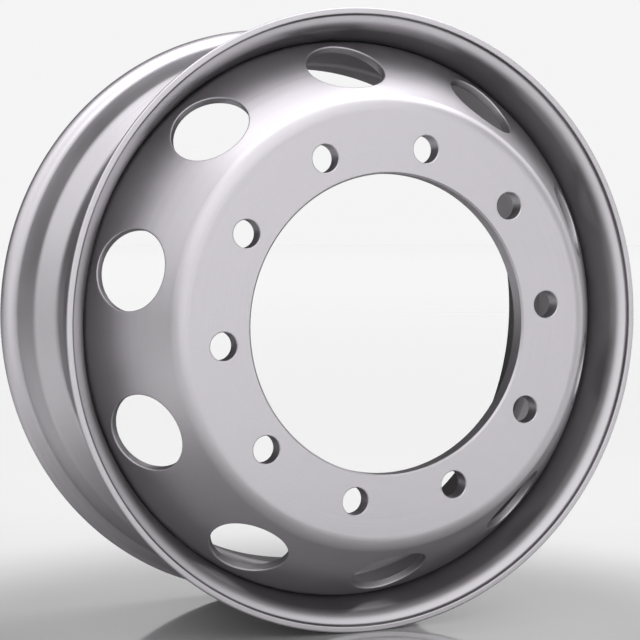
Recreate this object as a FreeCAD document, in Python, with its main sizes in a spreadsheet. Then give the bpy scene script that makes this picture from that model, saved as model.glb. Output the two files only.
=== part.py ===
import FreeCAD, Part
import math
import os
import Sketcher

# Tubeless steel disc wheel for trucks and trailers: a rolled rim, a spun disc and the weld between them.
# Millimetres and degrees. The wheel spins about Y. The origin is the centre of the bolt circle on the
# mounting face, +Y points inboard, towards the hub, and the convex face of the disc looks along -Y.
SIZES = {
    # Rim: nominal size and flanges
    "rim_nominal_dia": 571.5,
    "rim_width": 209.55,
    "half_dual_spacing": 165.0,
    "rim_wall": 6.3,
    "flange_height": 12.7,
    "flange_reach": 13.2,
    "flange_lean": 20.0,
    "horn_radius": 9.2,
    "heel_radius": 9.0,
    "flange_chamfer": 1.2,
    # Rim: seats, ledge and well
    "seat_slope": 15.0,
    "seat_width": 34.2,
    "ledge_slope": 5.0,
    "ledge_width": 60.0,
    "ramp_slope": 41.0,
    "ramp_radius": 14.0,
    "well_depth": 27.45,
    "well_radius": 12.0,
    "valve_hole_dia": 9.7,
    # Disc: hub face, slanted wall and skirt
    "hub_thickness": 16.0,
    "pilot_bore_dia": 281.0,
    "pilot_chamfer": 1.7,
    "shoulder_dia": 418.0,
    "shoulder_radius": 18.0,
    "pad_radius": 12.0,
    "root_thickness": 11.5,
    "edge_thickness": 7.5,
    "skirt_bend_radius": 14.0,
    "skirt_lead": 4.5,
    "skirt_length": 27.0,
    "skirt_clearance": 0.3,
    # Disc: holes
    "wheel_turn": 5.5,
    "bolt_circle_dia": 335.0,
    "bolt_count": 10,
    "bolt_hole_dia": 26.0,
    "bolt_chamfer": 0.8,
    "hand_hole_count": 10,
    "hand_hole_dia": 75.0,
    "hand_hole_shift": 4.5,
    # Weld
    "weld_leg": 6.5,
}

# Worked out from the sizes. A name that ends in _out is a distance outboard from a bead heel.
FORMS = {
    # Rim: radii of the tyre side
    "seat_radius": "Dim.rim_nominal_dia / 2",
    "flange_top_radius": "seat_radius + Dim.flange_height",
    "seat_end_radius": "seat_radius - Dim.seat_width * tan(Dim.seat_slope)",
    "ledge_end_radius": "seat_end_radius - Dim.ledge_width * tan(Dim.ledge_slope)",
    "well_floor_radius": "seat_radius - Dim.well_depth",
    # Rim: places along the axis
    "rim_middle": "Dim.half_dual_spacing - Dim.hub_thickness",
    "front_heel": "rim_middle - Dim.rim_width / 2",
    "rear_heel": "rim_middle + Dim.rim_width / 2",
    "horn_out": "Dim.flange_height * tan(Dim.flange_lean)",
    "seat_end_out": "-Dim.seat_width",
    "ledge_end_out": "seat_end_out - Dim.ledge_width",
    "front_well_out": "ledge_end_out - (ledge_end_radius - well_floor_radius) / tan(Dim.ramp_slope)",
    "rear_well_out": "seat_end_out - (seat_end_radius - well_floor_radius) / tan(Dim.ramp_slope)",
    "flange_slope": "90 - Dim.flange_lean",
    # Disc: the skirt lies along the inside of the rim's front ledge
    "face_place": "-Dim.hub_thickness",
    "ledge_place": "front_heel + Dim.seat_width",
    "bend_place": "ledge_place - Dim.skirt_lead",
    "skirt_end_place": "bend_place + Dim.skirt_length",
    "skirt_radius": "seat_end_radius - (Dim.rim_wall + Dim.skirt_clearance) / cos(Dim.ledge_slope)",
    "bend_radius": "skirt_radius + Dim.skirt_lead * tan(Dim.ledge_slope)",
    # Disc: the slanted wall runs straight from the shoulder to the skirt
    "shoulder_corner": "Dim.shoulder_dia / 2",
    "wall_depth": "bend_place - face_place",
    "wall_slope": "atan(wall_depth / (bend_radius - shoulder_corner)) / 1 deg",
    "shoulder_run": "Dim.shoulder_radius * tan(wall_slope / 2)",
    "bend_run": "Dim.skirt_bend_radius * tan((90 + Dim.ledge_slope - wall_slope) / 2)",
    "hand_hole_along": "(shoulder_run + wall_depth / sin(wall_slope) - bend_run) / 2 + Dim.hand_hole_shift",
    "pad_corner": "shoulder_corner + (Dim.hub_thickness * cos(wall_slope) - Dim.root_thickness) / sin(wall_slope)",
    "bend_spread": "1 + sin(wall_slope - Dim.ledge_slope)",
}

doc = FreeCAD.newDocument("SteelWheel")


def fill_sheet(name, cells):
    """A sheet with one named cell to a row."""
    sheet = doc.addObject("Spreadsheet::Sheet", name)
    for row, (alias, content) in enumerate(cells.items(), start=1):
        sheet.set(f"A{row}", alias)
        sheet.set(f"B{row}", content)
        sheet.setAlias(f"B{row}", alias)
    doc.recompute()
    return sheet


sizes = fill_sheet("Dim", {alias: str(size) for alias, size in SIZES.items()})
fill_sheet("Form", {alias: f"={formula}" for alias, formula in FORMS.items()})


def value(expression):
    """A length or an angle worked out from the sheets."""
    return float(sizes.evalExpression(expression))


def bind(sketch, constraint, name, expression):
    """Add a constraint that follows the sheets."""
    index = sketch.addConstraint(constraint)
    sketch.renameConstraint(index, name)
    sketch.setExpression(f"Constraints.{name}", expression)


def origin_feature(body, role):
    """One of a body's own planes or axes."""
    return next(feature for feature in body.Origin.OriginFeatures if feature.Role == role)


def section_sketch(body, name, turn=None):
    """A sketch in the plane through the spin axis: X is the radius and Y runs along the axis.

    A turn swings that plane about the axis, from +X towards +Z.
    """
    sketch = body.newObject("Sketcher::SketchObject", name)
    sketch.AttachmentSupport = [(origin_feature(body, "XY_Plane"), "")]
    sketch.MapMode = "FlatFace"
    if turn:
        swing = FreeCAD.Rotation(FreeCAD.Vector(0, -1, 0), value(turn))
        sketch.AttachmentOffset = FreeCAD.Placement(FreeCAD.Vector(), swing)
        sketch.setExpression("AttachmentOffset.Rotation.Angle", turn)
    return sketch


def bend_corner(sketch, spot, before, after, bend, name):
    """Round the corner between two sides with an arc, and return the point that keeps the sharp corner."""
    start = sketch.getPoint(before, 2)
    end = sketch.getPoint(after, 1)
    radius = value(bend)
    way_in = (spot - start).normalize()
    turns_left = way_in.cross(end - spot).z > 0
    aside = FreeCAD.Vector(-way_in.y, way_in.x, 0) * (radius if turns_left else -radius)
    centre = start + aside
    first, last = (start - centre, end - centre) if turns_left else (end - centre, start - centre)
    from_angle = math.atan2(first.y, first.x)
    to_angle = math.atan2(last.y, last.x)
    if to_angle < from_angle:
        to_angle += 2 * math.pi
    circle = Part.Circle(centre, FreeCAD.Vector(0, 0, 1), radius)
    arc = sketch.addGeometry(Part.ArcOfCircle(circle, from_angle, to_angle))
    entry, leaving = (1, 2) if turns_left else (2, 1)
    sketch.addConstraint(Sketcher.Constraint("Tangent", before, 2, arc, entry))
    sketch.addConstraint(Sketcher.Constraint("Tangent", arc, leaving, after, 1))
    bind(sketch, Sketcher.Constraint("Radius", arc, radius), f"{name}_bend", bend)
    corner = sketch.addGeometry(Part.Point(spot), True)
    sketch.addConstraint(Sketcher.Constraint("PointOnObject", corner, 1, before))
    sketch.addConstraint(Sketcher.Constraint("PointOnObject", corner, 1, after))
    return corner, 1


def draw_section(sketch, corners):
    """Draw a closed outline from corners of (name, radius, place along the axis, bend radius or None)."""
    count = len(corners)
    spots = [FreeCAD.Vector(value(radius), value(place), 0) for _, radius, place, _ in corners]
    ways = [(spots[(i + 1) % count] - spots[i]).normalize() for i in range(count)]
    trims = []
    for i, (*_, bend) in enumerate(corners):
        turn = ways[i - 1].getAngle(ways[i])
        trims.append(value(bend) * math.tan(turn / 2) if bend else 0.0)
    sides = []
    for i in range(count):
        following = (i + 1) % count
        start = spots[i] + ways[i] * trims[i]
        end = spots[following] - ways[i] * trims[following]
        sides.append(sketch.addGeometry(Part.LineSegment(start, end)))
    for i, (name, radius, place, bend) in enumerate(corners):
        before, after = sides[i - 1], sides[i]
        if bend:
            geometry, point = bend_corner(sketch, spots[i], before, after, bend, name)
        else:
            sketch.addConstraint(Sketcher.Constraint("Coincident", before, 2, after, 1))
            geometry, point = after, 1
        across = Sketcher.Constraint("DistanceX", -1, 1, geometry, point, spots[i].x)
        along = Sketcher.Constraint("DistanceY", -1, 1, geometry, point, spots[i].y)
        bind(sketch, across, f"{name}_radius", radius)
        bind(sketch, along, f"{name}_place", place)
    return sides


def revolve(body, name, corners):
    """Turn a section about the spin axis."""
    sketch = section_sketch(body, f"{name}_section")
    draw_section(sketch, corners)
    ring = body.newObject("PartDesign::Revolution", f"{name}_ring")
    ring.Profile = sketch
    ring.ReferenceAxis = (sketch, ["V_Axis"])
    ring.Angle = 360
    doc.recompute()
    return ring


def drill(body, name, turn, outline):
    """Cut a round hole: the outline's last side lies on the hole's own axis."""
    sketch = section_sketch(body, f"{name}_section", turn)
    sides = draw_section(sketch, outline)
    start = sketch.getPoint(sides[-1], 1)
    end = sketch.getPoint(sides[-1], 2)
    axis = sketch.addGeometry(Part.LineSegment(start, end), True)
    sketch.addConstraint(Sketcher.Constraint("Coincident", axis, 1, sides[-1], 1))
    sketch.addConstraint(Sketcher.Constraint("Coincident", axis, 2, sides[-1], 2))
    before = body.Shape.Volume
    hole = body.newObject("PartDesign::Groove", name)
    hole.Profile = sketch
    hole.ReferenceAxis = (sketch, ["Axis0"])
    hole.Angle = 360
    doc.recompute()
    if body.Shape.Volume >= before:
        raise RuntimeError(f"{name} removes no metal")
    return hole


def straight_hole(name, radius, place, tilt, hole_radius, reach):
    """Outline of a plain round hole about a point, its axis tilted from the spin axis towards it."""
    spots = []
    for label, along, aside in (("mouth", "-1", "0"), ("rim", "-1", "1"), ("end", "1", "1"), ("root", "1", "0")):
        spot_radius = f"{radius} - ({along}) * ({reach}) * sin({tilt}) + {aside} * ({hole_radius}) * cos({tilt})"
        spot_place = f"{place} + ({along}) * ({reach}) * cos({tilt}) + {aside} * ({hole_radius}) * sin({tilt})"
        spots.append((f"{name}_{label}", spot_radius, spot_place, None))
    return spots


def repeat_round_axis(body, name, feature, count):
    """Repeat a hole evenly about the spin axis."""
    pattern = body.newObject("PartDesign::PolarPattern", name)
    pattern.Originals = [feature]
    pattern.Axis = (origin_feature(body, "Y_Axis"), [""])
    pattern.Angle = 360
    pattern.Occurrences = int(value(count))
    pattern.setExpression("Occurrences", count)
    body.Tip = pattern
    doc.recompute()
    return pattern


def front(outboard):
    """Place along the axis of a point given outboard from the front bead heel."""
    return f"Form.front_heel - ({outboard})"


def rear(outboard):
    """Place along the axis of a point given outboard from the rear bead heel."""
    return f"Form.rear_heel + ({outboard})"


def wheel_side(radius, outboard, slope_a, slope_b):
    """The corner one wall thickness inside a tyre-side corner where lines of two slopes meet."""
    mean = f"(({slope_a}) + ({slope_b})) / 2"
    spread = f"cos((({slope_a}) - ({slope_b})) / 2)"
    inner_radius = f"{radius} - Dim.rim_wall * cos({mean}) / {spread}"
    inner_outboard = f"{outboard} + Dim.rim_wall * sin({mean}) / {spread}"
    return inner_radius, inner_outboard


def flange_end(side, place):
    """The chamfered end of a flange, from the tyre side to the wheel side."""
    reach = place("Dim.flange_reach")
    chamfer_end = place("Dim.flange_reach - Dim.flange_chamfer")
    inside_radius = "Form.flange_top_radius - Dim.rim_wall"
    return [
        (f"{side}_edge", "Form.flange_top_radius", chamfer_end, None),
        (f"{side}_end", "Form.flange_top_radius - Dim.flange_chamfer", reach, None),
        (f"{side}_end_inside", f"{inside_radius} + Dim.flange_chamfer", reach, None),
        (f"{side}_edge_inside", inside_radius, chamfer_end, None),
    ]


def rim_corners():
    """The rim's section: the tyre side from front to rear, then the wheel side back to the front.

    Bends that are convex on the tyre side are tighter on the wheel side by the wall, the others wider.
    """
    tighter = "{} - Dim.rim_wall"
    wider = "{} + Dim.rim_wall"
    flange = [
        ("horn", "Form.flange_top_radius", "Form.horn_out", "Dim.horn_radius", tighter, "0", "Form.flange_slope"),
        ("heel", "Form.seat_radius", "0", "Dim.heel_radius", wider, "Form.flange_slope", "Dim.seat_slope"),
    ]
    front_side = flange + [
        ("seat_end", "Form.seat_end_radius", "Form.seat_end_out", None, None,
         "Dim.seat_slope", "Dim.ledge_slope"),
        ("ledge_end", "Form.ledge_end_radius", "Form.ledge_end_out", "Dim.ramp_radius", tighter,
         "Dim.ledge_slope", "Dim.ramp_slope"),
        ("well", "Form.well_floor_radius", "Form.front_well_out", "Dim.well_radius", wider, "Dim.ramp_slope", "0"),
    ]
    rear_side = flange + [
        ("seat_end", "Form.seat_end_radius", "Form.seat_end_out", "Dim.ramp_radius", tighter,
         "Dim.seat_slope", "Dim.ramp_slope"),
        ("well", "Form.well_floor_radius", "Form.rear_well_out", "Dim.well_radius", wider, "Dim.ramp_slope", "0"),
    ]
    tyre = {"front": [], "rear": []}
    wheel = {"front": [], "rear": []}
    for side, place, corners in (("front", front, front_side), ("rear", rear, rear_side)):
        for name, radius, outboard, bend, inside_bend, slope_a, slope_b in corners:
            inner_radius, inner_outboard = wheel_side(radius, outboard, slope_a, slope_b)
            inner_bend = inside_bend.format(bend) if bend else None
            tyre[side].append((f"{side}_{name}", radius, place(outboard), bend))
            wheel[side].append((f"{side}_{name}_inside", inner_radius, place(inner_outboard), inner_bend))
    return (tyre["front"] + tyre["rear"][::-1] + flange_end("rear", rear)
            + wheel["rear"] + wheel["front"][::-1] + flange_end("front", front)[::-1])


def skirt_outside(place):
    """Radius of the outside of the disc's skirt, and of the weld that carries it on."""
    return f"(Form.skirt_radius - ({place} - Form.ledge_place) * tan(Dim.ledge_slope))"


def disc_corners():
    """The disc's section: the convex side from bore to skirt, then the concave side back to the bore."""
    bore = "Dim.pilot_bore_dia / 2"
    skirt_inside = f"{skirt_outside('Form.skirt_end_place')} - Dim.edge_thickness / cos(Dim.ledge_slope)"
    inner_bend_radius = ("Form.bend_radius - Dim.edge_thickness"
                         " * (sin(Form.wall_slope) + cos(Dim.ledge_slope)) / Form.bend_spread")
    inner_bend_place = ("Form.bend_place + Dim.edge_thickness"
                        " * (cos(Form.wall_slope) - sin(Dim.ledge_slope)) / Form.bend_spread")
    return [
        ("bore_front", bore, "Form.face_place + Dim.pilot_chamfer", None),
        ("face_edge", f"{bore} + Dim.pilot_chamfer", "Form.face_place", None),
        ("shoulder", "Form.shoulder_corner", "Form.face_place", "Dim.shoulder_radius"),
        ("skirt_bend", "Form.bend_radius", "Form.bend_place", "Dim.skirt_bend_radius"),
        ("skirt_end", skirt_outside("Form.skirt_end_place"), "Form.skirt_end_place", None),
        ("skirt_end_inside", skirt_inside, "Form.skirt_end_place", None),
        ("skirt_bend_inside", inner_bend_radius, inner_bend_place,
         "Dim.skirt_bend_radius - Dim.edge_thickness"),
        ("pad_edge", "Form.pad_corner", "0", "Dim.pad_radius"),
        ("bore_back", bore, "0", None),
    ]


def bolt_hole():
    """Outline of one bolt hole, chamfered on the convex face."""
    middle = "Dim.bolt_circle_dia / 2"
    wall = f"{middle} + Dim.bolt_hole_dia / 2"
    return [
        ("bolt_front", middle, "Form.face_place", None),
        ("bolt_mouth", f"{wall} + Dim.bolt_chamfer", "Form.face_place", None),
        ("bolt_wall", wall, "Form.face_place + Dim.bolt_chamfer", None),
        ("bolt_back_wall", wall, "0", None),
        ("bolt_back", middle, "0", None),
    ]


def weld_corners():
    """The fillet between the end of the skirt and the inside of the rim."""
    toe_place = "Form.skirt_end_place + Dim.weld_leg"
    root_radius = skirt_outside("Form.skirt_end_place")
    return [
        ("weld_root", root_radius, "Form.skirt_end_place", None),
        ("weld_toe", skirt_outside(toe_place), toe_place, None),
        ("weld_foot", f"{root_radius} - Dim.weld_leg", "Form.skirt_end_place", None),
    ]


def new_body(label):
    """A body whose label names its file."""
    body = doc.addObject("PartDesign::Body", label)
    body.Label = label
    return body


def make_rim():
    """The rolled rim with its valve hole in the front ramp, in line with a hand hole."""
    body = new_body("rim")
    revolve(body, "rim", rim_corners())
    ramp_radius = "(Form.ledge_end_radius + Form.well_floor_radius) / 2"
    ramp_place = front("(Form.ledge_end_out + Form.front_well_out) / 2")
    outline = straight_hole("valve", ramp_radius, ramp_place, "(Dim.ramp_slope - 90)",
                            "Dim.valve_hole_dia / 2", "2 * Dim.rim_wall")
    drill(body, "valve_hole", "Dim.wheel_turn + 180 / Dim.bolt_count", outline)
    return body


def make_disc():
    """The spun disc with its bolt holes and, half a step between them, the hand holes in the slanted wall."""
    body = new_body("disc")
    revolve(body, "disc", disc_corners())
    bolt = drill(body, "bolt_hole", "Dim.wheel_turn", bolt_hole())
    repeat_round_axis(body, "bolt_holes", bolt, "Dim.bolt_count")
    middle = "Form.shoulder_corner + Form.hand_hole_along * cos(Form.wall_slope)"
    place = "Form.face_place + Form.hand_hole_along * sin(Form.wall_slope)"
    outline = straight_hole("hand", middle, place, "Form.wall_slope",
                            "Dim.hand_hole_dia / 2", "2 * Dim.root_thickness")
    hand = drill(body, "hand_hole", "Dim.wheel_turn + 180 / Dim.bolt_count", outline)
    repeat_round_axis(body, "hand_holes", hand, "Dim.hand_hole_count")
    return body


def make_weld():
    """The continuous weld bead."""
    body = new_body("weld_bead")
    revolve(body, "weld", weld_corners())
    return body


bodies = [make_rim(), make_disc(), make_weld()]
doc.recompute()
for item in doc.Objects:
    if "Invalid" in item.State or "Error" in item.State:
        raise RuntimeError(f"{item.Name} failed: {item.State}")
    if item.TypeId == "Sketcher::SketchObject" and not item.FullyConstrained:
        raise RuntimeError(f"{item.Name} is not fully constrained")
for body in bodies:
    if body.Shape.isNull() or not body.Shape.isValid() or len(body.Shape.Solids) != 1:
        raise RuntimeError(f"{body.Label} is not one valid solid")

os.makedirs("parts", exist_ok=True)
for body in bodies:
    body.Shape.exportStep(f"parts/{body.Label}.step")
    print(body.Label, round(body.Shape.Volume / 1000, 1), "cm3")
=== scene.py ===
import bmesh
import bpy
import math
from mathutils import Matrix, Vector


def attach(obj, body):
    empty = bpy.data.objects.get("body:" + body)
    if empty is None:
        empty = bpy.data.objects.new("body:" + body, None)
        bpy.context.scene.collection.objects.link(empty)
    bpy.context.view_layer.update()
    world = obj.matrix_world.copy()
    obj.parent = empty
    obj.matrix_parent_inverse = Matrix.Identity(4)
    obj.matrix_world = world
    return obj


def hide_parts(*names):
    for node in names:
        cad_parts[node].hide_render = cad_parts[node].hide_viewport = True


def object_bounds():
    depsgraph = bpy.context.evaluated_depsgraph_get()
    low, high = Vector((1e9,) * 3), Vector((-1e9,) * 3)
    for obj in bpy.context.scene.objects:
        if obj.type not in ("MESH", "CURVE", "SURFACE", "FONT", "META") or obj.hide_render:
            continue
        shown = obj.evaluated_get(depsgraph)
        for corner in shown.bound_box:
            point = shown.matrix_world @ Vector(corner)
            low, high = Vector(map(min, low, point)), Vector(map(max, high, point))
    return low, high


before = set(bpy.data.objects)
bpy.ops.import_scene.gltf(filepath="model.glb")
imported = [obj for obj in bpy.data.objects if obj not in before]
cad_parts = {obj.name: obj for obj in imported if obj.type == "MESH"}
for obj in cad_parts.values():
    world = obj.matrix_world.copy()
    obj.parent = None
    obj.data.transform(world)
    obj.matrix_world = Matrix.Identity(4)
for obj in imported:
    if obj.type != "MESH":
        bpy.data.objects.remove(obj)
cad_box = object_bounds()

# Sizes in metres, angles in degrees. The wheel spins about Y, and its convex face looks along -Y.
# Rim section
RIM_DIA = 0.5715
RIM_WIDTH = 0.20955
RIM_MIDDLE = 0.149
RIM_WALL = 0.0063
FLANGE_HEIGHT = 0.0127
FLANGE_REACH = 0.0132
FLANGE_LEAN = 20.0
FLANGE_EDGE_RADIUS = 0.0016
HORN_RADIUS = 0.0092
HEEL_RADIUS = 0.009
SEAT_SLOPE = 15.0
SEAT_WIDTH = 0.0342
LEDGE_SLOPE = 5.0
LEDGE_WIDTH = 0.060
RAMP_SLOPE = 41.0
RAMP_RADIUS = 0.014
WELL_DEPTH = 0.02745
WELL_RADIUS = 0.012
VALVE_HOLE_DIA = 0.0097
VALVE_CUT_LENGTH = 4 * RIM_WALL
# Disc section
HUB_THICKNESS = 0.016
BORE_RADIUS = 0.1405
BORE_CHAMFER = 0.0017
SHOULDER_CORNER = 0.209
SHOULDER_RADIUS = 0.018
PAD_RADIUS = 0.012
ROOT_THICKNESS = 0.0115
EDGE_THICKNESS = 0.0075
SKIRT_BEND_RADIUS = 0.014
SKIRT_LEAD = 0.0045
SKIRT_LENGTH = 0.027
SKIRT_CLEARANCE = 0.0003
# Holes: the bolt holes start at the wheel's turn, and a hand hole lies midway between two of them
WHEEL_TURN = 5.5
HOLE_COUNT = 10
HALF_SECTOR = 180 / HOLE_COUNT
HAND_HOLE_TURN = WHEEL_TURN + HALF_SECTOR
BOLT_CIRCLE_RADIUS = 0.1675
BOLT_HOLE_RADIUS = 0.013
BOLT_CHAMFER = 0.0008
HAND_HOLE_RADIUS = 0.0375
HAND_HOLE_SHIFT = 0.0045
HAND_HOLE_EDGE = 0.0016
# Weld: the ripples bow across the bead and rise to a steep edge
WELD_LEG = 0.0065
WELD_CROWN = 0.0009
RIPPLE_PITCH = 0.0042
RIPPLE_HEIGHT = 0.00045
RIPPLE_BOW = 1.1
RIPPLE_STEEPNESS = 1.5
# Unevenness of the ripples: its size in pitches, its waves round the wheel and where they start
RIPPLE_SWAYS = ((0.12, 23, 0), (0.08, 61, 40))

# Mesh fineness
SECTOR_STEPS = 24
ROUND_STEPS = SECTOR_STEPS * HOLE_COUNT
BOLT_SIDE_STEPS = 12
HAND_SIDE_STEPS = 20
VALVE_STEPS = 40
RIPPLE_STEPS = 6
WELD_ROWS = 10
BEND_STEP = 7.0
SUPPORT = 0.0006
SHORT_RUN = 3 * SUPPORT
SHARP_ANGLE = 34.0
JOIN_DISTANCE = 2e-6
# Places of the rings between a sector's outline and its hole, and round the edge of a hand hole
BAND_SHARES = (0.2, 0.4, 0.58, 0.74, 0.87, 0.96)
EDGE_SHARES = (0.2, 0.4, 0.6, 0.8, 1.0)


def sin(degrees):
    return math.sin(math.radians(degrees))


def cos(degrees):
    return math.cos(math.radians(degrees))


def tan(degrees):
    return math.tan(math.radians(degrees))


# Rim: radii of the tyre side
SEAT_RADIUS = RIM_DIA / 2
FLANGE_TOP = SEAT_RADIUS + FLANGE_HEIGHT
SEAT_END = SEAT_RADIUS - SEAT_WIDTH * tan(SEAT_SLOPE)
LEDGE_END = SEAT_END - LEDGE_WIDTH * tan(LEDGE_SLOPE)
WELL_FLOOR = SEAT_RADIUS - WELL_DEPTH
# Rim: bead heels along the axis, and the ends of the well outboard from them
FRONT_HEEL = RIM_MIDDLE - RIM_WIDTH / 2
REAR_HEEL = RIM_MIDDLE + RIM_WIDTH / 2
FRONT_WELL_OUT = -SEAT_WIDTH - LEDGE_WIDTH - (LEDGE_END - WELL_FLOOR) / tan(RAMP_SLOPE)
REAR_WELL_OUT = -SEAT_WIDTH - (SEAT_END - WELL_FLOOR) / tan(RAMP_SLOPE)
# Disc: the skirt lies along the inside of the front ledge, and the wall runs from shoulder to skirt
FACE = -HUB_THICKNESS
LEDGE_PLACE = FRONT_HEEL + SEAT_WIDTH
BEND_PLACE = LEDGE_PLACE - SKIRT_LEAD
SKIRT_END = BEND_PLACE + SKIRT_LENGTH
SKIRT_RADIUS = SEAT_END - (RIM_WALL + SKIRT_CLEARANCE) / cos(LEDGE_SLOPE)
BEND_RADIUS = SKIRT_RADIUS + SKIRT_LEAD * tan(LEDGE_SLOPE)
WALL_DEPTH = BEND_PLACE - FACE
WALL_SLOPE = math.degrees(math.atan2(WALL_DEPTH, BEND_RADIUS - SHOULDER_CORNER))
PAD_CORNER = SHOULDER_CORNER + (
    HUB_THICKNESS * cos(WALL_SLOPE) - ROOT_THICKNESS) / sin(WALL_SLOPE)


def skirt_outside(place):
    """Radius of the outside of the skirt, and of the weld that carries it on."""
    return SKIRT_RADIUS - (place - LEDGE_PLACE) * tan(LEDGE_SLOPE)


# Sections and meshes

def spin(radius, place, turn):
    """The point at a radius and a place along the axis, turned from +X towards +Z."""
    return Vector((radius * cos(turn), place, radius * sin(turn)))


def bend_points(before, corner, after, radius):
    """Points of the arc that rounds a corner of a section, or the corner itself."""
    if not radius:
        return [corner]
    way_in = (corner - before).normalized()
    way_out = (after - corner).normalized()
    turn = way_in.angle_signed(way_out)
    trim = radius * math.tan(abs(turn) / 2)
    arm = Vector((-way_in.y, way_in.x)) * math.copysign(radius, turn)
    centre = corner - way_in * trim - arm
    steps = max(2, math.ceil(math.degrees(abs(turn)) / BEND_STEP))
    points = []
    for i in range(steps + 1):
        angle = -turn * i / steps
        points.append(centre + Vector((arm.x * math.cos(angle) - arm.y * math.sin(angle),
                                       arm.x * math.sin(angle) + arm.y * math.cos(angle))))
    return points


def strips(corners):
    """Rings of a closed section of (radius, place, bend radius, holed), cut at the holed runs.

    A run is the straight stretch after its corner. Each has a ring just inside both of its ends,
    so that the bends shade without reaching into it. A holed run is left out, for a band with
    holes to fill.
    """
    spots = [Vector((radius, place)) for radius, place, _, _ in corners]
    count = len(spots)
    arcs = [bend_points(spots[i - 1], spots[i], spots[(i + 1) % count], corners[i][2])
            for i in range(count)]
    made = [[]]
    for i in range(count):
        made[-1] += arcs[i]
        start, end = arcs[i][-1], arcs[(i + 1) % count][0]
        way = (end - start).normalized() * SUPPORT
        if (end - start).length > SHORT_RUN:
            made[-1].append(start + way)
            if corners[i][3]:
                made.append([])
            made[-1].append(end - way)
    if len(made) == 1:
        return [made[0] + made[0][:1]]
    made[0] = made.pop() + made[0]
    return made


def bridge(bm, low, high):
    """Faces between two closed rings."""
    count = len(low)
    for i in range(count):
        j = (i + 1) % count
        bm.faces.new((low[i], low[j], high[j], high[i]))


def lathe(bm, points):
    """Turn a strip of section points once round the axis."""
    turns = [WHEEL_TURN + 360 * i / ROUND_STEPS for i in range(ROUND_STEPS)]
    rings = [[bm.verts.new(spin(point.x, point.y, turn)) for turn in turns] for point in points]
    for low, high in zip(rings, rings[1:]):
        bridge(bm, low, high)


def finished_mesh(name, bm):
    """The mesh that has been drawn."""
    mesh = bpy.data.meshes.new(name)
    bm.to_mesh(mesh)
    bm.free()
    return mesh


def new_object(name, data):
    """An object in the scene."""
    made = bpy.data.objects.new(name, data)
    bpy.context.scene.collection.objects.link(made)
    return made


def put(thing, place, axis, way):
    """Put an object at a place, with one of its axes along a way."""
    thing.location = place
    thing.rotation_mode = "QUATERNION"
    thing.rotation_quaternion = way.to_track_quat(axis, "Y")


def make_piece(name, bm, node, material):
    """Join the seams of a mesh, shade it and let it stand for a solid of the part."""
    bmesh.ops.remove_doubles(bm, verts=bm.verts, dist=JOIN_DISTANCE)
    bmesh.ops.recalc_face_normals(bm, faces=bm.faces)
    for face in bm.faces:
        face.smooth = True
    mesh = finished_mesh(name, bm)
    mesh.set_sharp_from_angle(angle=math.radians(SHARP_ANGLE))
    mesh.materials.append(material)
    piece = new_object(name, mesh)
    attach(piece, "root")
    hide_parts(node)
    return piece


# Rim

def front(outboard):
    """Place along the axis of a point given outboard from the front bead heel."""
    return FRONT_HEEL - outboard


def rear(outboard):
    """Place along the axis of a point given outboard from the rear bead heel."""
    return REAR_HEEL + outboard


def wheel_side(radius, outboard, slope_a, slope_b):
    """The corner one wall thickness inside a tyre-side corner where lines of two slopes meet."""
    mean = (slope_a + slope_b) / 2
    spread = cos((slope_a - slope_b) / 2)
    return radius - RIM_WALL * cos(mean) / spread, outboard + RIM_WALL * sin(mean) / spread


def half_section(place, corners):
    """The tyre side and the wheel side of half a rim, both from the flange's edge to the well.

    A corner is (radius, outboard, bend radius, its change on the wheel side, slopes at both sides).
    """
    end = place(FLANGE_REACH)
    tyre = [(FLANGE_TOP, end, FLANGE_EDGE_RADIUS, False)]
    wheel = [(FLANGE_TOP - RIM_WALL, end, FLANGE_EDGE_RADIUS, False)]
    for radius, outboard, bend, change, slope_a, slope_b in corners:
        inner_radius, inner_outboard = wheel_side(radius, outboard, slope_a, slope_b)
        tyre.append((radius, place(outboard), bend, False))
        wheel.append((inner_radius, place(inner_outboard), bend + change, False))
    return tyre, wheel


def rim_corners():
    """The rim's section: the tyre side from front to rear, then the wheel side back to the front."""
    flange_slope = 90 - FLANGE_LEAN
    horn_out = FLANGE_HEIGHT * tan(FLANGE_LEAN)
    ledge_out = -SEAT_WIDTH - LEDGE_WIDTH
    flange = [
        (FLANGE_TOP, horn_out, HORN_RADIUS, -RIM_WALL, 0, flange_slope),
        (SEAT_RADIUS, 0, HEEL_RADIUS, RIM_WALL, flange_slope, SEAT_SLOPE),
    ]
    front_tyre, front_wheel = half_section(front, flange + [
        (SEAT_END, -SEAT_WIDTH, RAMP_RADIUS, -RIM_WALL, SEAT_SLOPE, LEDGE_SLOPE),
        (LEDGE_END, ledge_out, RAMP_RADIUS, -RIM_WALL, LEDGE_SLOPE, RAMP_SLOPE),
        (WELL_FLOOR, FRONT_WELL_OUT, WELL_RADIUS, RIM_WALL, RAMP_SLOPE, 0),
    ])
    rear_tyre, rear_wheel = half_section(rear, flange + [
        (SEAT_END, -SEAT_WIDTH, RAMP_RADIUS, -RIM_WALL, SEAT_SLOPE, RAMP_SLOPE),
        (WELL_FLOOR, REAR_WELL_OUT, WELL_RADIUS, RIM_WALL, RAMP_SLOPE, 0),
    ])
    return front_tyre + rear_tyre[::-1] + rear_wheel + front_wheel[::-1]


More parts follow.
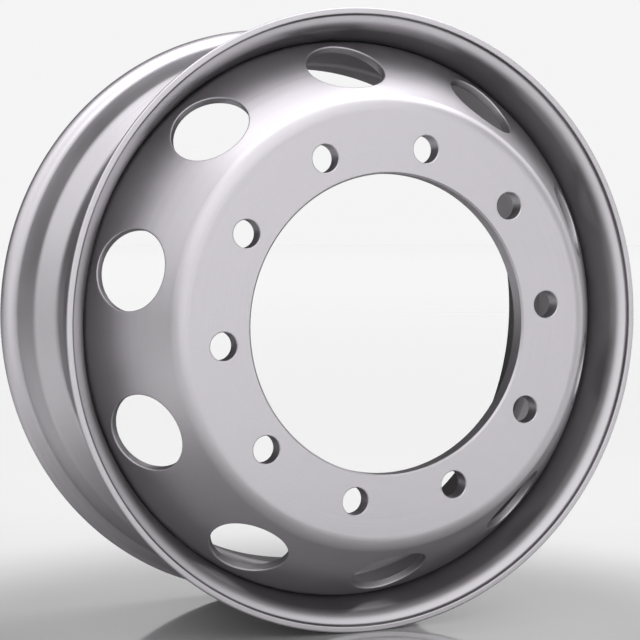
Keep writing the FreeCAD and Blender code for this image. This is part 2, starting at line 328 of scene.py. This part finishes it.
def valve_cutter():
    """A rod through the middle of the front ramp, in line with a hand hole."""
    radius = (LEDGE_END + WELL_FLOOR) / 2
    place = front((FRONT_WELL_OUT - SEAT_WIDTH - LEDGE_WIDTH) / 2)
    bm = bmesh.new()
    bmesh.ops.create_cone(bm, cap_ends=True, segments=VALVE_STEPS, radius1=VALVE_HOLE_DIA / 2,
                          radius2=VALVE_HOLE_DIA / 2, depth=VALVE_CUT_LENGTH)
    cutter = new_object("valve_cutter", finished_mesh("valve_cutter", bm))
    put(cutter, spin(radius, place, HAND_HOLE_TURN), "Z",
        spin(cos(RAMP_SLOPE), sin(RAMP_SLOPE), HAND_HOLE_TURN))
    return cutter


def make_rim(material):
    """The rolled rim, with its valve hole cut through the front ramp."""
    bm = bmesh.new()
    for strip in strips(rim_corners()):
        lathe(bm, strip)
    rim = make_piece("painted_rim", bm, "rim", material)
    cutter = valve_cutter()
    cut = rim.modifiers.new("valve_hole", "BOOLEAN")
    cut.operation = "DIFFERENCE"
    cut.solver = "EXACT"
    cut.object = cutter
    depsgraph = bpy.context.evaluated_depsgraph_get()
    drilled = bpy.data.meshes.new_from_object(rim.evaluated_get(depsgraph))
    rim.modifiers.remove(cut)
    rim.data = drilled
    bpy.data.objects.remove(cutter)


# Disc

def disc_corners():
    """The disc's section: the convex side from bore to skirt, then the concave side back."""
    spread = 1 + sin(WALL_SLOPE - LEDGE_SLOPE)
    skirt_inside = skirt_outside(SKIRT_END) - EDGE_THICKNESS / cos(LEDGE_SLOPE)
    inwards = EDGE_THICKNESS * (sin(WALL_SLOPE) + cos(LEDGE_SLOPE)) / spread
    inboard = EDGE_THICKNESS * (cos(WALL_SLOPE) - sin(LEDGE_SLOPE)) / spread
    return [
        (BORE_RADIUS, FACE + BORE_CHAMFER, 0, False),
        (BORE_RADIUS + BORE_CHAMFER, FACE, 0, True),
        (SHOULDER_CORNER, FACE, SHOULDER_RADIUS, True),
        (BEND_RADIUS, BEND_PLACE, SKIRT_BEND_RADIUS, False),
        (skirt_outside(SKIRT_END), SKIRT_END, 0, False),
        (skirt_inside, SKIRT_END, 0, False),
        (BEND_RADIUS - inwards, BEND_PLACE + inboard, SKIRT_BEND_RADIUS - EDGE_THICKNESS, True),
        (PAD_CORNER, 0, PAD_RADIUS, True),
        (BORE_RADIUS, 0, 0, False),
    ]


def outline_of_sector(inner, outer, side_steps):
    """The closed outline of one sector between two rings, as pairs of (section point, turn)."""
    turns = [-HALF_SECTOR + 2 * HALF_SECTOR * i / SECTOR_STEPS for i in range(SECTOR_STEPS)]
    shares = [i / side_steps for i in range(side_steps)]
    loop = [(0.0, turn) for turn in turns]
    loop += [(share, HALF_SECTOR) for share in shares]
    loop += [(1.0, -turn) for turn in turns]
    loop += [(1.0 - share, -HALF_SECTOR) for share in shares]
    return [(inner.lerp(outer, share), turn) for share, turn in loop]


def ways_round(loop, rings_of_hole):
    """For each point of a sector's outline, its way round the hole from the hole's middle."""
    outer, inner = [Vector(rings_of_hole(way)[0][:2]) for way in (0.0, math.pi)]
    middle = (outer + inner) / 2
    slope = (outer - inner).normalized()
    return [math.atan2(spot.x * math.radians(turn), (spot - middle).dot(slope))
            for spot, turn in loop]


def band_rings(inner, outer, loop, holes):
    """The rings of one sector of a band, from its outline to its hole and on through the hole."""
    rings = [[(spot.x, spot.y, turn) for spot, turn in loop]]
    for share in BAND_SHARES:
        ring = []
        for (spot, turn), hole in zip(loop, holes):
            radius, _, hole_turn = hole[0]
            edge = inner.lerp(outer, (radius - inner.x) / (outer.x - inner.x))
            point = spot.lerp(edge, share)
            ring.append((point.x, point.y, turn + (hole_turn - turn) * share))
        rings.append(ring)
    return rings + list(zip(*holes))


def holed_band(bm, inner, outer, side_steps, first_turn, rings_of_hole, ways=None):
    """A band between two rings of a section with a hole in the middle of each sector.

    rings_of_hole(way) gives the hole's points from the band inwards, for a way round the hole in
    radians, as (radius, place, turn) about the sector's middle. Returns the ways used and the last
    ring of every hole.
    """
    loop = outline_of_sector(inner, outer, side_steps)
    if ways is None:
        ways = ways_round(loop, rings_of_hole)
    sector_rings = band_rings(inner, outer, loop, [rings_of_hole(way) for way in ways])
    last_rings = []
    for sector in range(HOLE_COUNT):
        middle = first_turn + 360 * sector / HOLE_COUNT
        rings = [[bm.verts.new(spin(radius, place, middle + turn)) for radius, place, turn in ring]
                 for ring in sector_rings]
        for low, high in zip(rings, rings[1:]):
            bridge(bm, low, high)
        last_rings.append(rings[-1])
    return ways, last_rings


def flat_point(radius, place, way):
    """A point of a circle round a bolt hole's middle, as (radius, place, turn)."""
    out = BOLT_CIRCLE_RADIUS + radius * math.cos(way)
    aside = radius * math.sin(way)
    return math.hypot(out, aside), place, math.degrees(math.atan2(aside, out))


def bolt_rings(way):
    """The mouth of a bolt hole on the convex face, down its chamfer and its wall."""
    mouth = BOLT_HOLE_RADIUS + BOLT_CHAMFER
    steps = [(mouth, FACE), (BOLT_HOLE_RADIUS, FACE + BOLT_CHAMFER), (BOLT_HOLE_RADIUS, 0.0)]
    return [flat_point(radius, place, way) for radius, place in steps]


def bolt_back_ring(way):
    """The edge of a bolt hole on the mounting face."""
    return [flat_point(BOLT_HOLE_RADIUS, 0.0, way)]


def hand_hole_middle():
    """The middle of a hand hole on the outside of the slanted wall."""
    length = WALL_DEPTH / sin(WALL_SLOPE)
    shoulder_run = SHOULDER_RADIUS * tan(WALL_SLOPE / 2)
    bend_run = SKIRT_BEND_RADIUS * tan((90 + LEDGE_SLOPE - WALL_SLOPE) / 2)
    along = (shoulder_run + length - bend_run) / 2 + HAND_HOLE_SHIFT
    return SHOULDER_CORNER + along * cos(WALL_SLOPE), FACE + along * sin(WALL_SLOPE)


def hand_spot(radius, way):
    """A point round a hand hole's middle in the plane of its mouth, as (out, place, aside)."""
    middle_radius, middle_place = hand_hole_middle()
    along = radius * math.cos(way)
    return (middle_radius + along * cos(WALL_SLOPE), middle_place + along * sin(WALL_SLOPE),
            radius * math.sin(way))


def wall_point(out, place, aside, depth):
    """A point at a depth below the plane of a hand hole's mouth, as (radius, place, turn)."""
    out -= depth * sin(WALL_SLOPE)
    place += depth * cos(WALL_SLOPE)
    return math.hypot(out, aside), place, math.degrees(math.atan2(aside, out))


def on_wall(radius, way, wall):
    """Where a line along a hand hole's axis meets a wall, and its depth there below the mouth.

    The line stands at a radius and a way from the hole's middle. The wall is a cone through two
    section points.
    """
    out, place, aside = hand_spot(radius, way)
    start, end = wall
    growth = (end.x - start.x) / (end.y - start.y)
    cone = start.x + (place - start.y) * growth
    fall = growth * cos(WALL_SLOPE)
    a = sin(WALL_SLOPE) ** 2 - fall ** 2
    b = -(out * sin(WALL_SLOPE) + cone * fall)
    c = out ** 2 + aside ** 2 - cone ** 2
    depth = c / (-b + math.sqrt(b * b - a * c))
    return wall_point(out, place, aside, depth), depth


def hand_rings(wall, inwards):
    """Rings of a hand hole from a wall round its rolled edge into the hole."""
    def rings(way):
        lip, lip_depth = on_wall(HAND_HOLE_RADIUS + HAND_HOLE_EDGE, way, wall)
        _, edge_depth = on_wall(HAND_HOLE_RADIUS, way, wall)
        end_depth = edge_depth + inwards * HAND_HOLE_EDGE
        points = [lip]
        for share in EDGE_SHARES:
            left = 1 - share
            radius = HAND_HOLE_RADIUS + HAND_HOLE_EDGE * left ** 2
            depth = lip_depth * left ** 2 + edge_depth * 2 * share * left + end_depth * share ** 2
            points.append(wall_point(*hand_spot(radius, way), depth))
        return points

    return rings


def make_disc(material):
    """The spun disc with its bolt holes and hand holes."""
    bm = bmesh.new()
    bore, shoulder, skirt, pad = strips(disc_corners())
    for strip in (bore, shoulder, skirt, pad):
        lathe(bm, strip)
    ways, _ = holed_band(bm, bore[-1], shoulder[0], BOLT_SIDE_STEPS, WHEEL_TURN, bolt_rings)
    holed_band(bm, bore[0], pad[-1], BOLT_SIDE_STEPS, WHEEL_TURN, bolt_back_ring, ways)
    outer_wall = (shoulder[-1], skirt[0])
    inner_wall = (pad[0], skirt[-1])
    ways, outer_rings = holed_band(bm, *outer_wall, HAND_SIDE_STEPS, HAND_HOLE_TURN,
                                   hand_rings(outer_wall, 1))
    _, inner_rings = holed_band(bm, *inner_wall, HAND_SIDE_STEPS, HAND_HOLE_TURN,
                                hand_rings(inner_wall, -1), ways)
    for low, high in zip(outer_rings, inner_rings):
        bridge(bm, low, high)
    make_piece("painted_disc", bm, "disc", material)


# Weld

def weld_face(root, pools, sway):
    """Points across the bead's face from the rim to the skirt's end, after a number of pools."""
    toe = Vector((skirt_outside(SKIRT_END + WELD_LEG), SKIRT_END + WELD_LEG))
    foot = Vector((root.x - WELD_LEG, SKIRT_END))
    outwards = Vector((-1.0, 1.0)).normalized()
    points = []
    for row in range(WELD_ROWS + 1):
        share = row / WELD_ROWS
        bulge = 4 * share * (1 - share)
        phase = (pools + RIPPLE_BOW * bulge + sway) % 1.0
        height = WELD_CROWN * bulge + RIPPLE_HEIGHT * bulge * phase ** RIPPLE_STEEPNESS
        points.append(toe.lerp(foot, share) + outwards * height)
    return points


def make_weld(material):
    """The weld bead: a crowned fillet with the ripples of its pools."""
    root = Vector((skirt_outside(SKIRT_END), SKIRT_END))
    ripples = round(2 * math.pi * root.x / RIPPLE_PITCH)
    steps = ripples * RIPPLE_STEPS
    bm = bmesh.new()
    rings = []
    for step in range(steps):
        turn = 360 * step / steps
        sway = sum(size * sin(turn * waves + start) for size, waves, start in RIPPLE_SWAYS)
        points = [root] + weld_face(root, step / RIPPLE_STEPS, sway)
        rings.append([bm.verts.new(spin(point.x, point.y, turn)) for point in points])
    for low, high in zip(rings, rings[1:] + rings[:1]):
        bridge(bm, low, high)
    make_piece("painted_weld", bm, "weld_bead", material)


# Materials

def node_tree(owner):
    """A way to add nodes to an emptied tree, with their inputs set or joined."""
    owner.use_nodes = True
    tree = owner.node_tree
    tree.nodes.clear()

    def add(kind, inputs=None, **settings):
        node = tree.nodes.new(kind)
        for name, setting in settings.items():
            setattr(node, name, setting)
        for socket, content in (inputs or {}).items():
            if isinstance(content, bpy.types.NodeSocket):
                tree.links.new(content, node.inputs[socket])
            else:
                node.inputs[socket].default_value = content
        return node

    return add


def vector(add, operation, *inputs):
    """The outputs of a step of vector arithmetic."""
    return add("ShaderNodeVectorMath", dict(enumerate(inputs)), operation=operation).outputs


def ramp(add, amount, start, end, low=0.0, high=1.0, kind="LINEAR"):
    """An amount between start and end, brought to the same share between low and high."""
    return add("ShaderNodeMapRange", {
        "Value": amount, "From Min": start, "From Max": end, "To Min": low, "To Max": high,
    }, interpolation_type=kind).outputs[0]


def blend(add, share, a, b):
    """A colour on the way from one to another."""
    return add("ShaderNodeMix", {"Factor": share, "A": a, "B": b},
               data_type="RGBA").outputs["Result"]


def noise(add, spot, grain):
    """Noise of a given grain."""
    return add("ShaderNodeTexNoise", {"Vector": spot, **grain}).outputs["Fac"]


# Paint: the tones of its flake, its tone at a grazing look, and painted shade, a darker tone on the
# surfaces inside the rim
PAINT_DARK = (0.53, 0.51, 0.54, 1.0)
PAINT_LIGHT = (0.61, 0.585, 0.62, 1.0)
PAINT_FLOP = (0.10, 0.10, 0.10, 1.0)
# Painted shade: the darker colour given to surfaces inside the rim, standing in for shade there
PAINTED_SHADE_INSIDE = (0.31, 0.30, 0.31, 1.0)
FLAKE = {"Scale": 1800.0, "Detail": 2.0, "Roughness": 0.7}
CLOUD = {"Scale": 9.0, "Detail": 4.0, "Roughness": 0.55}
TONE_RANGE = (0.7, 1.3)
CLOUD_RANGE = (0.3, 0.7)
SATIN_RANGE = (0.42, 0.50)
# How far a surface looks towards the axis, from where the painted shade starts to where it is full
INSIDE_RANGE = (-0.35, -0.85)
PEEL = {"Scale": 420.0, "Detail": 2.0, "Roughness": 0.5}
PEEL_HEIGHT = {"Strength": 0.06, "Distance": 0.0004}
# Lines left by rolling and spinning, which drift a little on their way round
LINES = {"Scale": 160.0, "Detail": 4.0, "Roughness": 0.6}
LINES_HEIGHT = {"Strength": 0.3, "Distance": 0.0006}
LINES_DRIFT = (0.006, 0.006, 0.006)
ACROSS_AXIS = (1.0, 0.0, 1.0)


def painted_shade_share(add, facing, radius):
    """The share of the painted shade: on surfaces that look towards the axis, beyond the hub's pad.
    """
    inside = ramp(add, facing, *INSIDE_RANGE, kind="SMOOTHSTEP")
    return ramp(add, radius, PAD_CORNER - PAD_RADIUS, PAD_CORNER + PAD_RADIUS, high=inside,
                kind="SMOOTHSTEP")


def rolled_lines(add, coords, outwards, radius):
    """The normal of a surface with fine lines round the axis."""
    place = add("ShaderNodeSeparateXYZ", {"Vector": coords}).outputs["Y"]
    section = add("ShaderNodeCombineXYZ", {"X": radius, "Y": place}).outputs[0]
    spot = vector(add, "MULTIPLY_ADD", outwards, LINES_DRIFT, section)[0]
    return add("ShaderNodeBump", {"Height": noise(add, spot, LINES), **LINES_HEIGHT}).outputs[0]


def silver_paint():
    """Metallic silver paint: fine flake, a faint cloud, painted shade inside, satin gloss, rolled
    lines, orange peel.
    """
    material = bpy.data.materials.new("silver_metallic")
    add = node_tree(material)
    surface = add("ShaderNodeTexCoord").outputs
    coords = surface["Object"]
    radial = vector(add, "MULTIPLY", coords, ACROSS_AXIS)[0]
    outwards = vector(add, "NORMALIZE", radial)[0]
    facing = vector(add, "DOT_PRODUCT", outwards, surface["Normal"])["Value"]
    radius = vector(add, "LENGTH", radial)["Value"]
    flake = noise(add, coords, FLAKE)
    cloud = noise(add, coords, CLOUD)
    tone = add("ShaderNodeMath", {0: flake, 1: cloud}, operation="ADD").outputs[0]
    colour = blend(add, ramp(add, tone, *TONE_RANGE), PAINT_DARK, PAINT_LIGHT)
    # Painted shade: surfaces that look towards the axis take the darker inside colour
    colour_with_painted_shade = blend(add, painted_shade_share(add, facing, radius), colour, PAINTED_SHADE_INSIDE)
    gloss = ramp(add, cloud, *CLOUD_RANGE, *SATIN_RANGE)
    lines = rolled_lines(add, coords, outwards, radius)
    bump = add("ShaderNodeBump", {"Height": noise(add, coords, PEEL), **PEEL_HEIGHT,
                                  "Normal": lines}).outputs[0]
    shader = add("ShaderNodeBsdfPrincipled", {
        "Base Color": colour_with_painted_shade, "Roughness": gloss, "Normal": bump, "Metallic": 1.0,
        "Specular Tint": PAINT_FLOP})
    add("ShaderNodeOutputMaterial", {"Surface": shader.outputs[0]})
    return material


# Floor: its painted shadow where the wheel stands, its pale tone further out, and the distances
# between which it changes
FLOOR_RADIUS = 30.0
FLOOR_STEPS = 96
FLOOR_MIDDLE = (-0.04, 0.06, 0.0)
# Painted shadow: the floor's darker tone round where the wheel stands
FLOOR_PAINTED_SHADOW = (0.38, 0.38, 0.38, 1.0)
FLOOR_FAR = (0.92, 0.92, 0.92, 1.0)
FLOOR_CHANGE = (0.30, 0.62)
FLOOR_ROUGHNESS = 0.07


def floor_paint():
    """A pale, smooth studio floor, with a painted shadow, a deeper tone, where the wheel stands."""
    material = bpy.data.materials.new("studio_floor")
    add = node_tree(material)
    coords = add("ShaderNodeTexCoord").outputs["Object"]
    reach = vector(add, "DISTANCE", coords, FLOOR_MIDDLE)["Value"]
    share = ramp(add, reach, *FLOOR_CHANGE, kind="SMOOTHSTEP")
    # Painted shadow: darker near the wheel, pale further out
    colour = blend(add, share, FLOOR_PAINTED_SHADOW, FLOOR_FAR)
    shader = add("ShaderNodeBsdfPrincipled", {"Base Color": colour, "Roughness": FLOOR_ROUGHNESS})
    add("ShaderNodeOutputMaterial", {"Surface": shader.outputs[0]})
    return material


def make_floor():
    """The floor under the wheel."""
    bm = bmesh.new()
    bmesh.ops.create_circle(bm, cap_ends=True, segments=FLOOR_STEPS, radius=FLOOR_RADIUS)
    floor = new_object("floor", finished_mesh("floor", bm))
    floor.data.materials.append(floor_paint())
    floor.location.z = cad_box[0].z


# Light of the room by direction: a low level all round, and wide soft areas on top of it, each with
# its direction, the angles from it where the area is full and where it ends, and its radiance
ROOM_WHITE = (1.0, 1.0, 1.0, 1.0)
ROOM_LEVEL = 0.06
ROOM_AREAS = {
    "front wall": ((-0.04, -0.95, 0.31), 26.0, 60.0, 1.45),
    "left wall": ((-0.78, -0.16, 0.60), 18.0, 42.0, 1.20),
    "right wall": ((0.98, 0.0, 0.12), 12.0, 34.0, 1.20),
    "side window": ((0.62, 0.28, 0.73), 14.0, 36.0, 2.2),
    "backdrop": ((0.41, 0.91, -0.05), 14.0, 24.0, 0.85),
}


def make_room():
    """The room round the wheel: pale walls in front and at both sides, a window and a backdrop."""
    world = bpy.data.worlds.new("room")
    bpy.context.scene.world = world
    add = node_tree(world)
    way = add("ShaderNodeTexCoord").outputs["Generated"]
    total = ROOM_LEVEL
    for direction, full, end, radiance in ROOM_AREAS.values():
        facing = vector(add, "DOT_PRODUCT", way, Vector(direction).normalized())["Value"]
        area = ramp(add, facing, cos(end), cos(full), high=radiance, kind="SMOOTHSTEP")
        total = add("ShaderNodeMath", {0: total, 1: area}, operation="ADD").outputs[0]
    background = add("ShaderNodeBackground", {"Color": ROOM_WHITE, "Strength": total})
    add("ShaderNodeOutputWorld", {"Surface": background.outputs[0]})


# Lamp over the wheel, given by the radiance of its face
LAMP_PLACE = Vector((0.0, 0.0, 0.7))
LAMP_AIM = Vector((0.0, 0.0, 0.0))
LAMP_WIDTH = 0.95
LAMP_DEPTH = 0.4
LAMP_RADIANCE = 2.4


def make_lamp():
    """The soft lamp over the wheel."""
    data = bpy.data.lights.new("overhead", "AREA")
    data.shape = "RECTANGLE"
    data.size = LAMP_WIDTH
    data.size_y = LAMP_DEPTH
    data.energy = LAMP_RADIANCE * math.pi * LAMP_WIDTH * LAMP_DEPTH
    lamp = new_object("overhead", data)
    lamp.visible_camera = False
    put(lamp, LAMP_PLACE, "-Z", LAMP_AIM - LAMP_PLACE)


# Camera: its pose and lens fitted to the photograph's frame
FRAME_PX = 640
FOCAL_PX = 1893.0
SENSOR_WIDTH_MM = 36.0
CAMERA_AZIMUTH = -23.97
CAMERA_ELEVATION = 2.99
CAMERA_DISTANCE = 1.764
FACE_CENTRE_PX = (391.1, 324.8)


def make_camera():
    """The camera, placed so that the middle of the convex face falls on its pixel."""
    azimuth, elevation = CAMERA_AZIMUTH, CAMERA_ELEVATION
    level = cos(elevation)
    back = Vector((sin(azimuth) * level, -cos(azimuth) * level, sin(elevation)))
    right = Vector((cos(azimuth), sin(azimuth), 0.0))
    up = back.cross(right)
    across = (FACE_CENTRE_PX[0] - FRAME_PX / 2) / FOCAL_PX * CAMERA_DISTANCE
    above = (FRAME_PX / 2 - FACE_CENTRE_PX[1]) / FOCAL_PX * CAMERA_DISTANCE
    face_centre = Vector((0.0, FACE, 0.0))
    data = bpy.data.cameras.new("camera")
    data.sensor_width = SENSOR_WIDTH_MM
    data.lens = FOCAL_PX / FRAME_PX * SENSOR_WIDTH_MM
    camera = new_object("camera", data)
    put(camera, face_centre - right * across - up * above + back * CAMERA_DISTANCE, "Z", back)
    bpy.context.scene.camera = camera


bpy.context.scene.view_settings.view_transform = "Standard"
paint = silver_paint()
make_rim(paint)
make_disc(paint)
make_weld(paint)
make_floor()
make_room()
make_lamp()
make_camera()
